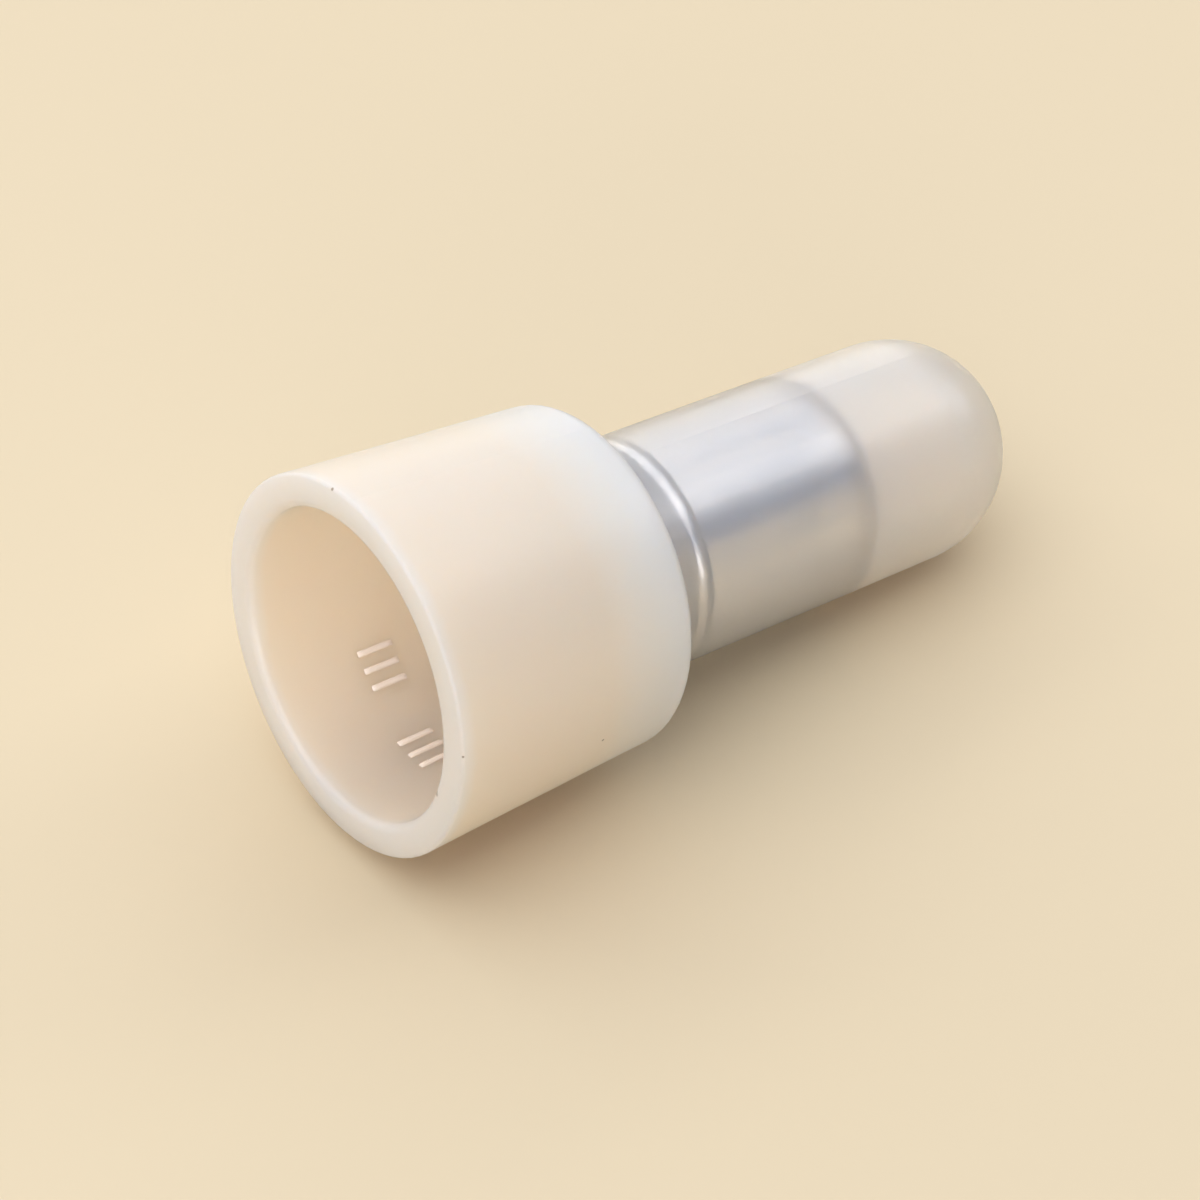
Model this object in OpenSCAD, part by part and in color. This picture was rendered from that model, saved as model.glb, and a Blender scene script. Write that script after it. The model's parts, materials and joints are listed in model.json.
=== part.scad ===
// Closed-end wire joint connector: a moulded cap that insulates, with a metal crimp sleeve in its barrel.
// It lies on its side, on the edge of its shoulder and on its round end. Sizes are in millimetres.

/* [Bell] */
// Outer diameter of the bell at its mouth
mouth_d = 11.4; // [10:0.1:16]
// Length of the bell, from the mouth to the shoulder
bell_l = 8.6; // [6:0.1:14]
// Wall of the bell
bell_wall = 1; // [0.6:0.05:1.3]
// Taper of the bell's wall, in degrees from the axis
bell_draft = 2.7; // [0:0.1:4]
// Thickness of the shoulder around the sleeve's mouth
shoulder_t = 0.8; // [0.5:0.05:1.5]
// Length of the funnel that leads the wires into the sleeve
funnel_l = 1; // [0.5:0.1:2]

/* [Barrel] */
// Wall of the barrel around the sleeve
barrel_wall = 0.67; // [0.5:0.01:1]
// Length of the closed end, from the sleeve to the tip
closed_l = 7.1; // [6:0.1:12]
// Wall at the tip of the closed end
tip_wall = 1.3; // [0.8:0.05:2]

/* [Sleeve] */
// Inner diameter of the sleeve
sleeve_bore = 4.7; // [3.5:0.1:5.5]
// Wall of the sleeve
sleeve_wall = 0.6; // [0.4:0.05:0.8]
// Length of the sleeve
sleeve_l = 10; // [7:0.1:14]
// Length of the sleeve's flared mouth
flare_l = 2.9; // [1.5:0.1:4]
// How far the flare opens on each side
flare_rise = 0.4; // [0.3:0.05:0.5]
// Length of the raised bead at the flare's narrow end
bead_l = 0.5; // [0.4:0.05:0.8]
// Height of the bead before its crest is rounded
bead_rise = 0.1; // [0.05:0.01:0.15]
// Clearance between the sleeve and its seat in the cap
seat_gap = 0.03; // [0.02:0.01:0.1]

/* [Edges] */
// Radius of the shoulder's outer edge
shoulder_edge = 0.45; // [0.2:0.05:0.8]
// Radius in the neck, where the barrel meets the shoulder
neck_fillet = 0.25; // [0.1:0.05:0.5]
// Radius of the mouth's inner edge
rim_inner_edge = 0.25; // [0.1:0.05:0.4]
// Radius of the mouth's outer edge
rim_outer_edge = 0.1; // [0.05:0.05:0.3]
// Radius in the corner between the bell's wall and the funnel
funnel_fillet = 0.8; // [0.3:0.1:1.2]
// Radius of the sleeve's outer edge at its seat
sleeve_edge = 0.45; // [0.1:0.05:0.5]
// Radius of the crest of the sleeve's bead
bead_crest = 0.3; // [0.1:0.05:0.35]
// Radius at each foot of the sleeve's bead
bead_foot = 0.2; // [0.05:0.05:0.25]

/* [Hidden] */
$fn = 96;
// Turn of each straight stretch along a rounded edge, in degrees
arc_turn = 12;

// Radii, each built up from the sleeve's bore
sleeve_ri = sleeve_bore / 2;
sleeve_ro = sleeve_ri + sleeve_wall;
seat_r = sleeve_ro + seat_gap;
barrel_r = seat_r + barrel_wall;
flare_ro = sleeve_ro + flare_rise;
flare_ri = flare_ro - sleeve_wall;

// Heights along the axis, from the mouth at 0 to the tip at cap_l
sleeve_z = bell_l - shoulder_t;
funnel_z = sleeve_z - funnel_l;
bend_z = sleeve_z + flare_l;
seat_z = sleeve_z + sleeve_l;
cap_l = seat_z + closed_l;
dome_z = cap_l - barrel_r;
hollow_z = cap_l - tip_wall - sleeve_ri;

// Corners of the bell's section, each as a radius and a height
mouth_r = mouth_d / 2;
rim_outer = [mouth_r, 0];
rim_inner = [mouth_r - bell_wall, 0];
shoulder = [mouth_r - bell_l * tan(bell_draft), bell_l];
neck = [barrel_r, bell_l];
dome_base = [barrel_r, dome_z];
funnel = [rim_inner.x - funnel_z * tan(bell_draft), funnel_z];
flare_seat = [flare_ro + seat_gap, sleeve_z];

// Direction from one point to another, of length 1
function toward(from, to) = (to - from) / norm(to - from);

// Half of the angle at a corner
function half_angle(before, corner, after) =
    acos(toward(corner, before) * toward(corner, after)) / 2;

// Centre of the arc that rounds a corner
function arc_centre(before, corner, after, radius) =
    let (u = toward(corner, before), v = toward(corner, after))
    corner + toward([0, 0], u + v) * radius / sin(half_angle(before, corner, after));

// Points of the arc that rounds a corner, from one side to the other
function rounded(before, corner, after, radius) =
    let (
        u = toward(corner, before),
        v = toward(corner, after),
        centre = arc_centre(before, corner, after, radius),
        start = corner + u * radius / tan(half_angle(before, corner, after)) - centre,
        first = atan2(start.y, start.x),
        turn = 180 - 2 * half_angle(before, corner, after),
        sweep = sign(v.x * u.y - v.y * u.x) * turn,
        stretches = ceil(turn / arc_turn))
    [for (i = [0:stretches])
        let (a = first + sweep * i / stretches)
        centre + radius * [cos(a), sin(a)]];

// Outside of the sleeve, from its mouth past the flare and the bead, moved out by a gap
function flare_outside(gap) =
    let (
        mouth = [flare_ro + gap, sleeve_z],
        near_foot = [sleeve_ro + gap, bend_z - bead_l / 2],
        crest = [sleeve_ro + bead_rise + gap, bend_z],
        far_foot = [sleeve_ro + gap, bend_z + bead_l / 2],
        far = [sleeve_ro + gap, seat_z])
    concat(
        [mouth],
        rounded(mouth, near_foot, crest, bead_foot),
        rounded(near_foot, crest, far_foot, bead_crest),
        rounded(crest, far_foot, far, bead_foot));

// Rest on a flat surface: the line that touches the shoulder's edge and the round end
shoulder_arc = arc_centre(rim_outer, shoulder, neck, shoulder_edge);
rim_arc = arc_centre([0, 0], rim_outer, shoulder, rim_outer_edge);
rest_span = dome_z - shoulder_arc.y;
rest_reach = norm([shoulder_arc.x, rest_span]);
rest_tilt = acos((barrel_r - shoulder_edge) / rest_reach) - atan2(rest_span, shoulder_arc.x);
rest_height = shoulder_arc.x * cos(rest_tilt) + shoulder_arc.y * sin(rest_tilt) + shoulder_edge;
rest_back = rim_arc.y * cos(rest_tilt) - rim_arc.x * sin(rest_tilt) - rim_outer_edge;
rest_front = dome_z * cos(rest_tilt) + barrel_r;

// Quarter of a disc, which a turn about the axis makes a round end
module round_end(radius, height) {
    translate([0, height]) intersection() {
        circle(radius);
        square(radius);
    }
}

// Half section of the cap's outside, filled in
module cap_outside() {
    polygon(concat(
        [[0, 0]],
        rounded([0, 0], rim_outer, shoulder, rim_outer_edge),
        rounded(rim_outer, shoulder, neck, shoulder_edge),
        rounded(shoulder, neck, dome_base, neck_fillet),
        [dome_base, [0, dome_z]]));
    round_end(barrel_r, dome_z);
}

// Half section of the cap's hollow: bell, funnel, seat of the sleeve and closed end
module cap_hollow() {
    polygon(concat(
        [[0, 0]],
        rounded(rim_outer, rim_inner, funnel, rim_inner_edge),
        rounded(rim_inner, funnel, flare_seat, funnel_fillet),
        flare_outside(seat_gap),
        [[seat_r, seat_z], [sleeve_ri, seat_z], [sleeve_ri, hollow_z], [0, hollow_z]]));
    round_end(sleeve_ri, hollow_z);
}

// Half section of the sleeve: a flared mouth, a bead, a straight crimp length and a rounded far edge
module sleeve_section() {
    bend = [sleeve_ro, bend_z];
    far_outer = [sleeve_ro, seat_z];
    far_inner = [sleeve_ri, seat_z];
    polygon(concat(
        [[flare_ri, sleeve_z]],
        flare_outside(0),
        rounded(bend, far_outer, far_inner, sleeve_edge),
        [far_inner, [sleeve_ri, bend_z]]));
}

// Lays what stands on its mouth down on its side, at rest, with the mouth towards +X
module at_rest() {
    translate([(rest_back + rest_front) / 2, 0, rest_height])
        rotate([0, -90 - rest_tilt, 0])
            children();
}

// Moulded nylon cap in one piece
module insulating_cap() {
    color([0.93, 0.9, 0.85])
        at_rest() rotate_extrude() difference() {
            cap_outside();
            cap_hollow();
        }
}

// Tinned metal sleeve that is crimped onto the wires
module crimp_sleeve() {
    color([0.8, 0.81, 0.83])
        at_rest() rotate_extrude() sleeve_section();
}

insulating_cap();
crimp_sleeve();
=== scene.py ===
"""Closed-end wire joint connector: a milky nylon cap, with a tinned crimp sleeve seen through its barrel."""
import json
import math

import bpy
from mathutils import Matrix, Vector


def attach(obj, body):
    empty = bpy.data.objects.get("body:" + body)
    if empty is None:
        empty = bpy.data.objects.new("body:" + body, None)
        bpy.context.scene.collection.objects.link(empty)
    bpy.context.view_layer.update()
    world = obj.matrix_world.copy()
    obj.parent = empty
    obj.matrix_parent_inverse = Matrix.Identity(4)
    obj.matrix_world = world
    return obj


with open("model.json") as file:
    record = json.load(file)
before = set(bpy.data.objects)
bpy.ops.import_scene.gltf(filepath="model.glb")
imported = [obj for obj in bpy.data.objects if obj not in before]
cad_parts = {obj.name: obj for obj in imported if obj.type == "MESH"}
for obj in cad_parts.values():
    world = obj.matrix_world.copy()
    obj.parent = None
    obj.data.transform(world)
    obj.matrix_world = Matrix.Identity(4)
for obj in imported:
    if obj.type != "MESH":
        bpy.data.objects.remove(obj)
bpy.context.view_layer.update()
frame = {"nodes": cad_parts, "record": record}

MM = 0.001
cap = frame["nodes"]["insulating_cap"]
sleeve = frame["nodes"]["crimp_sleeve"]

# Axis of the part, from its wire bore: it runs in through the mouth to the closed end

bore = frame["record"]["mounts"][0]
INWARD = -Vector(bore["axis"]).normalized()
ON_AXIS = Vector(bore["pos_m"])
MOUTH = ON_AXIS + INWARD * min((v.co - ON_AXIS).dot(INWARD) for v in cap.data.vertices)


def station(point):
    """How far in a point lies from the mouth."""
    return (point - MOUTH).dot(INWARD)


def radius(point):
    """How far a point lies from the axis."""
    return (point - MOUTH - INWARD * station(point)).length


# Stations and radii of the main forms: what stands out past the barrel by a step belongs to the bell

SHOULDER_STEP = 0.5 * MM
TIP = max(station(v.co) for v in cap.data.vertices)
SLEEVE_START = min(station(v.co) for v in sleeve.data.vertices)
SLEEVE_END = max(station(v.co) for v in sleeve.data.vertices)
BARREL_R = max(radius(v.co) for v in cap.data.vertices if station(v.co) > SLEEVE_END)
SHOULDER = max(station(v.co) for v in cap.data.vertices if radius(v.co) > BARREL_R + SHOULDER_STEP)
MOUTH_R = max(radius(v.co) for v in cap.data.vertices)

# Directions around the axis: towards the camera's side, and up

SIDE = Vector((0, 1, 0))
UP = SIDE.cross(INWARD)


def outward(turn):
    """Direction away from the axis, turned from the camera's side towards the top, in degrees."""
    return SIDE * math.cos(math.radians(turn)) + UP * math.sin(math.radians(turn))


def on_cap(at, turn, from_axis=False):
    """Point of the cap's outer wall, or of its inner wall, at a station and a turn about the axis."""
    centre = MOUTH + INWARD * at
    ray = outward(turn)
    start = centre if from_axis else centre + ray * 2 * MOUTH_R
    return cap.ray_cast(start, ray if from_axis else -ray)[1]


def add_object(name, data):
    """Puts a new object into the scene."""
    thing = bpy.data.objects.new(name, data)
    bpy.context.scene.collection.objects.link(thing)
    return thing


# Camera: the pixels are those of the photo's frame

IMAGE_SIDE = 1200
FOCAL_PIXELS = 2800
MOUTH_PIXEL = (340.7, 668.6)
MOUTH_DEPTH = 78.27 * MM
CAMERA_AZIMUTH = math.radians(141.5)
CAMERA_ELEVATION = math.radians(41.05)
SENSOR = 36.0
NEAREST_SEEN = 1 * MM
FARTHEST_SEEN = 5


def make_camera():
    """Camera that sees the mouth's middle at its own pixel and depth."""
    data = bpy.data.cameras.new("camera")
    camera = add_object("camera", data)
    level = math.cos(CAMERA_ELEVATION)
    back = Vector((
        math.sin(CAMERA_AZIMUTH) * level,
        -math.cos(CAMERA_AZIMUTH) * level,
        math.sin(CAMERA_ELEVATION),
    ))
    right = Vector((math.cos(CAMERA_AZIMUTH), math.sin(CAMERA_AZIMUTH), 0))
    up = back.cross(right)
    across = (MOUTH_PIXEL[0] - IMAGE_SIDE / 2) / FOCAL_PIXELS * MOUTH_DEPTH
    below = (MOUTH_PIXEL[1] - IMAGE_SIDE / 2) / FOCAL_PIXELS * MOUTH_DEPTH
    camera.location = MOUTH - right * across + up * below + back * MOUTH_DEPTH
    camera.rotation_euler = Matrix((right, up, back)).transposed().to_euler()
    data.sensor_width = SENSOR
    data.lens = SENSOR * FOCAL_PIXELS / IMAGE_SIDE
    data.clip_start = NEAREST_SEEN
    data.clip_end = FARTHEST_SEEN
    bpy.context.scene.camera = camera


make_camera()


# Materials

class Nodes:
    """Short ways to add nodes to one material."""

    def __init__(self, name):
        self.material = bpy.data.materials.new(name)
        self.material.use_nodes = True
        self.tree = self.material.node_tree
        self.shader = self.tree.nodes["Principled BSDF"]

    def set(self, socket, value):
        """Gives an input a constant, or links another node's output to it."""
        if isinstance(value, bpy.types.NodeSocket):
            self.tree.links.new(value, socket)
        else:
            socket.default_value = value

    def add(self, kind, values=(), output=0, **settings):
        """Adds a node and returns one of its outputs; values go to its inputs in order, or by key."""
        node = self.tree.nodes.new(kind)
        for key, value in settings.items():
            setattr(node, key, value)
        for key, value in values.items() if isinstance(values, dict) else enumerate(values):
            self.set(node.inputs[key], value)
        return node.outputs[output]

    def feed(self, **values):
        """Gives values to the shader's own inputs."""
        for name, value in values.items():
            self.set(self.shader.inputs[name.replace("_", " ")], value)

    def place(self):
        """Where the surface is, from the middle of the mouth, in metres."""
        here = self.add("ShaderNodeTexCoord", output="Object")
        return self.add("ShaderNodeVectorMath", (here, MOUTH), operation="SUBTRACT")

    def station(self, place):
        """How far in the surface lies from the mouth, in metres."""
        return self.add("ShaderNodeVectorMath", (place, INWARD), operation="DOT_PRODUCT", output="Value")

    def fade(self, value, start, end, low=0.0, high=1.0):
        """Goes smoothly from low to high as the value goes from start to end."""
        return self.add("ShaderNodeMapRange", (value, start, end, low, high), interpolation_type="SMOOTHSTEP")

    def noise(self, place, size, detail=2.0):
        """Smooth noise whose patches are about this size, in metres."""
        values = {"Vector": place, "Scale": 1 / size, "Detail": detail}
        return self.add("ShaderNodeTexNoise", values, output="Fac")

    def blend(self, share, first, second):
        """A colour between two others; the node keeps its colours at inputs 6 and 7 and at output 2."""
        return self.add("ShaderNodeMix", {"Factor": share, 6: first, 7: second}, data_type="RGBA", output=2)

    def math(self, operation, *values):
        """One step of arithmetic."""
        return self.add("ShaderNodeMath", values, operation=operation)

    def bands(self, value, stops):
        """Colour and alpha that change with a value from 0 to 1, through stops of place, colour and alpha."""
        node = self.tree.nodes.new("ShaderNodeValToRGB")
        self.set(node.inputs["Fac"], value)
        elements = node.color_ramp.elements
        while len(elements) < len(stops):
            elements.new(1)
        for element, (place, colour, alpha) in zip(elements, stops):
            element.position = place
            element.color = (*colour, alpha)
        return node.outputs["Color"], node.outputs["Alpha"]


# Nylon: bands along the part, each as a station, a colour and the share of light that passes

RIM_CREAM = (0.95, 0.87, 0.78)
CREAM = (0.97, 0.80, 0.66)
COOL_WHITE = (0.96, 0.92, 0.87)
CLEAR_WHITE = (0.98, 0.94, 0.90)
MILK = (0.98, 0.875, 0.785)
NYLON_BANDS = [
    (0, RIM_CREAM, 0.45),
    (0.5 * MM, CREAM, 0.42),
    (SLEEVE_START - 2.4 * MM, CREAM, 0.42),
    (SHOULDER - 0.3 * MM, COOL_WHITE, 0.45),
    (SHOULDER + 0.4 * MM, CLEAR_WHITE, 0.87),
    (SLEEVE_END - 0.7 * MM, CLEAR_WHITE, 0.87),
    (SLEEVE_END - 0.3 * MM, MILK, 0.6),
    (TIP, MILK, 0.6),
]
BAND_WANDER = 0.3 * MM
WANDER_SIZE = 2.5 * MM

# Roughness: satin on the bell, glossier from the shoulder on; much below 0.28 the sleeve looks speckled

BELL_FROST = 0.42
BARREL_FROST = 0.28
FROST_START = SHOULDER - 0.2 * MM
FROST_END = SHOULDER + 0.4 * MM
GRAIN_FROST = 0.06
GRAIN_SIZE = 0.5 * MM
GRAIN_DETAIL = 3

# Gloss of the nylon, and how far light of each colour scatters in it

NYLON_IOR = 1.53
COAT_WEIGHT = 0.35
COAT_ROUGHNESS = 0.25
SCATTER_RADIUS = (1, 0.9, 0.8)
SCATTER_DEPTH = 2.2 * MM

# Dark specks on the bell and its rim, each as a point and a radius; the last is a nick in the inner edge

SPECK_COLOUR = (0.34, 0.26, 0.18)
SPECK_CORE = 0.4
SPECKS = [
    (on_cap(5.34 * MM, -12.8), 0.06 * MM),
    (on_cap(0.02 * MM, 98.6), 0.07 * MM),
    (on_cap(0.04 * MM, 7.8), 0.05 * MM),
    (on_cap(0.04 * MM, -14.6, from_axis=True), 0.12 * MM),
]


def nylon():
    """Milky nylon: cream in the bell, cooler at the shoulder, clear over the sleeve."""
    n = Nodes("nylon")
    place = n.place()
    shift = n.math("MULTIPLY_ADD", n.noise(place, WANDER_SIZE), 2 * BAND_WANDER, -BAND_WANDER)
    at = n.math("ADD", n.station(place), shift)
    frost = n.fade(at, FROST_START, FROST_END, BELL_FROST, BARREL_FROST)
    grain = n.noise(place, GRAIN_SIZE, GRAIN_DETAIL)
    stops = [(stop / TIP, colour, clear) for stop, colour, clear in NYLON_BANDS]
    tint, clear = n.bands(n.math("DIVIDE", at, TIP), stops)
    for point, size in SPECKS:
        gap = n.add("ShaderNodeVectorMath", (place, point - MOUTH), operation="DISTANCE", output="Value")
        tint = n.blend(n.fade(gap, size, SPECK_CORE * size), tint, (*SPECK_COLOUR, 1))
    n.feed(
        Base_Color=tint,
        Roughness=n.math("MULTIPLY_ADD", grain, GRAIN_FROST, frost),
        IOR=NYLON_IOR,
        Coat_Weight=COAT_WEIGHT,
        Coat_Roughness=COAT_ROUGHNESS,
        Transmission_Weight=clear,
        Subsurface_Weight=1,
        Subsurface_Radius=SCATTER_RADIUS,
        Subsurface_Scale=SCATTER_DEPTH,
    )
    return n.material


# Tin plating: a shade made of drawn streaks and soft patches goes from dull to bright

TIN_DULL = (0.66, 0.71, 0.79)
TIN_BRIGHT = (0.95, 0.95, 0.95)
DULL_ROUGHNESS = 0.28
BRIGHT_ROUGHNESS = 0.14
STREAK_SIZE = 0.35 * MM
STREAK_DETAIL = 4
# Share of the length that the streaks' noise leaves out, which draws it out along the sleeve
STREAK_DRAWN = 0.94
STREAK_SHARE = 0.6
PATCH_SIZE = 1.6 * MM
PATCH_DETAIL = 3
PATCH_SHARE = 0.4
NOISE_LOW = 0.3
NOISE_HIGH = 0.7
TIN_BUMP = 0.35
TIN_BUMP_DEPTH = 0.02 * MM


def tinned_metal():
    """Tin plating with faint streaks along the sleeve, from drawing, and soft patches."""
    n = Nodes("tinned_metal")
    place = n.place()
    stretch = n.math("MULTIPLY", n.station(place), -STREAK_DRAWN)
    back = n.add("ShaderNodeVectorMath", {0: INWARD, "Scale": stretch}, operation="SCALE")
    drawn = n.add("ShaderNodeVectorMath", (place, back), operation="ADD")
    streak = n.fade(n.noise(drawn, STREAK_SIZE, STREAK_DETAIL), NOISE_LOW, NOISE_HIGH)
    patch = n.fade(n.noise(place, PATCH_SIZE, PATCH_DETAIL), NOISE_LOW, NOISE_HIGH)
    shade = n.math("MULTIPLY_ADD", patch, PATCH_SHARE, n.math("MULTIPLY", streak, STREAK_SHARE))
    bump = n.add("ShaderNodeBump", {"Strength": TIN_BUMP, "Distance": TIN_BUMP_DEPTH, "Height": shade})
    n.feed(
        Base_Color=n.blend(shade, (*TIN_DULL, 1), (*TIN_BRIGHT, 1)),
        Metallic=1,
        Roughness=n.fade(shade, 0, 1, DULL_ROUGHNESS, BRIGHT_ROUGHNESS),
        Normal=bump,
    )
    return n.material


def dress(node, material):
    """Gives a piece its one material."""
    node.data.materials.clear()
    node.data.materials.append(material)


dress(cap, nylon())
dress(sleeve, tinned_metal())


# Raised marks inside the bell: groups of plain bars along the axis, each group at a station and a turn

BAR_L = 1.3 * MM
BAR_W = 0.22 * MM
BAR_H = 0.09 * MM
BAR_SINK = 0.03 * MM
BAR_PITCH = 7.0
BAR_GROUPS = [(3.7 * MM, -131), (3.4 * MM, -92)]
BARS_PER_GROUP = 3
BAR_ROWS = 13
BAR_COLUMNS = 9
# The higher the power, the later a bar's top falls off towards its sides or ends
SIDE_POWER = 4
END_POWER = 8
MARK_DEEP = (0.93, 0.80, 0.67)
MARK_PALE = (0.95, 0.85, 0.74)
MARK_PATCH = 0.6 * MM
MARK_ROUGHNESS = 0.16


def raised_nylon():
    """Nylon of the thin raised marks, which lets less light in."""
    n = Nodes("raised_nylon")
    patches = n.noise(n.place(), MARK_PATCH)
    n.feed(
        Base_Color=n.blend(patches, (*MARK_DEEP, 1), (*MARK_PALE, 1)),
        Roughness=MARK_ROUGHNESS,
        IOR=NYLON_IOR,
    )
    return n.material


def add_mesh(name, points, faces, material):
    """Puts a smooth mesh with one material into the scene."""
    mesh = bpy.data.meshes.new(name)
    mesh.from_pydata(points, [], faces)
    mesh.shade_smooth()
    thing = add_object(name, mesh)
    dress(thing, material)
    return thing


def add_bar(points, faces, at, turn):
    """Adds one bar to the points and faces: a sunk base and a rounded top, on the bell's inner wall."""
    first = len(points)
    half_turn = math.degrees(BAR_W / 2 / radius(on_cap(at, turn, from_axis=True)))
    for top in (False, True):
        for i in range(BAR_ROWS):
            v = 2 * i / (BAR_ROWS - 1) - 1
            for j in range(BAR_COLUMNS):
                u = 2 * j / (BAR_COLUMNS - 1) - 1
                here = at + v * BAR_L / 2
                angle = turn + u * half_turn
                height = BAR_H * math.sqrt((1 - u ** SIDE_POWER) * (1 - v ** END_POWER)) if top else 0
                points.append(on_cap(here, angle, from_axis=True) + outward(angle) * (BAR_SINK - height))
    size = BAR_ROWS * BAR_COLUMNS
    for i in range(BAR_ROWS - 1):
        for j in range(BAR_COLUMNS - 1):
            a = first + i * BAR_COLUMNS + j
            b, c, d = a + 1, a + BAR_COLUMNS + 1, a + BAR_COLUMNS
            faces += [(a, b, c, d), (a + size, d + size, c + size, b + size)]


def make_marks():
    """All the bars, as one piece that rides on the part."""
    points, faces = [], []
    for at, middle in BAR_GROUPS:
        for k in range(BARS_PER_GROUP):
            add_bar(points, faces, at, middle + BAR_PITCH * (k - (BARS_PER_GROUP - 1) / 2))
    marks = add_mesh("mould_marks", points, faces, raised_nylon())
    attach(marks, "root")


make_marks()


# Stage: a floor that turns into an even backdrop between two distances from the part

FLOOR_COLOUR = (0.63, 0.52, 0.35)
FLOOR_ROUGHNESS = 0.7
FLOOR_R = 0.5
FLOOR_SEGMENTS = 96
BACKDROP_COLOUR = (0.84, 0.72, 0.54)
BACKDROP_RISE = 0.16
BACKDROP_RINGS = 12
EVEN_START = 0.12
EVEN_END = 0.3
# Gloss shows the backdrop only where it lies this far behind the part
BEHIND_START = -0.2
BEHIND_END = -0.4


def stage_material():
    """Matt floor that keeps the shadow near the part and turns into an even pale backdrop far from it."""
    n = Nodes("stage")
    n.feed(Base_Color=(*FLOOR_COLOUR, 1), Roughness=FLOOR_ROUGHNESS, Specular_IOR_Level=0)
    here = n.add("ShaderNodeTexCoord", output="Object")
    distance = n.add("ShaderNodeVectorMath", (here,), operation="LENGTH", output="Value")
    depth = n.add("ShaderNodeSeparateXYZ", (here,), output="Y")
    behind = n.fade(depth, BEHIND_START, BEHIND_END)
    glossy = n.math("MULTIPLY", n.add("ShaderNodeLightPath", output="Is Glossy Ray"), behind)
    clear = n.math("MAXIMUM", n.add("ShaderNodeLightPath", output="Is Transmission Ray"), glossy)
    seen = n.math("MAXIMUM", n.add("ShaderNodeLightPath", output="Is Camera Ray"), clear)
    share = n.math("MULTIPLY", seen, n.fade(distance, EVEN_START, EVEN_END))
    even = n.add("ShaderNodeEmission", {"Color": (*BACKDROP_COLOUR, 1), "Strength": 1})
    mixed = n.add("ShaderNodeMixShader", (share, n.shader.outputs[0], even))
    n.set(n.tree.nodes["Material Output"].inputs["Surface"], mixed)
    return n.material


def make_floor():
    """Round floor whose edge curves up into a low backdrop."""
    turns = [2 * math.pi * k / FLOOR_SEGMENTS for k in range(FLOOR_SEGMENTS)]
    following = [(k, (k + 1) % FLOOR_SEGMENTS) for k in range(FLOOR_SEGMENTS)]
    points = [(0, 0, 0)]
    faces = [(0, 1 + k, 1 + after) for k, after in following]
    for ring in range(BACKDROP_RINGS + 1):
        rise = math.pi / 2 * ring / BACKDROP_RINGS
        r = FLOOR_R + BACKDROP_RISE * math.sin(rise)
        z = BACKDROP_RISE * (1 - math.cos(rise))
        points += [(r * math.cos(t), r * math.sin(t), z) for t in turns]
    for ring in range(BACKDROP_RINGS):
        a = 1 + ring * FLOOR_SEGMENTS
        b = a + FLOOR_SEGMENTS
        faces += [(a + k, b + k, b + after, a + after) for k, after in following]
    floor = add_mesh("floor", points, faces, stage_material())


# Light: soft panels, each with a name, a place, a target, a size and a radiance, and a dim sky

SOFTBOXES = [
    ("overhead", (-0.04, -0.085, 0.3), (-0.04, -0.085, 0), (0.76, 0.53), 1.38),
    ("mouth_side", (0.28, 0.11, 0.28), (0, 0, 0), (0.5, 0.5), 1.2),
    ("back", (-0.1, -0.42, 0.26), (-0.1, 0, 0.26), (1.0, 0.52), 1.2),
    ("front_fill", (0.25, 0.3, 0.07), (0, 0, 0), (0.3, 0.12), 4.2),
    ("tip_side", (-0.303, 0.06, 0.166), (0, 0, 0), (0.15, 0.15), 1.6),
]
SKY_COLOUR = (0.08, 0.13, 0.26)


def add_softbox(name, place, target, size, radiance):
    """A soft panel that faces a target, unseen by the camera itself."""
    data = bpy.data.lights.new(name, "AREA")
    data.shape = "RECTANGLE"
    data.size, data.size_y = size
    data.energy = math.pi * size[0] * size[1] * radiance
    panel = add_object(name, data)
    panel.location = place
    panel.rotation_euler = (Vector(place) - Vector(target)).to_track_quat("Z", "Y").to_euler()
    panel.visible_camera = False


def make_light():
    """The sky and all the panels."""
    world = bpy.data.worlds.new("world")
    bpy.context.scene.world = world
    world.use_nodes = True
    background = world.node_tree.nodes["Background"]
    background.inputs["Color"].default_value = (*SKY_COLOUR, 1)
    background.inputs["Strength"].default_value = 1
    for panel in SOFTBOXES:
        add_softbox(*panel)


make_floor()
make_light()
bpy.context.scene.view_settings.view_transform = "Standard"
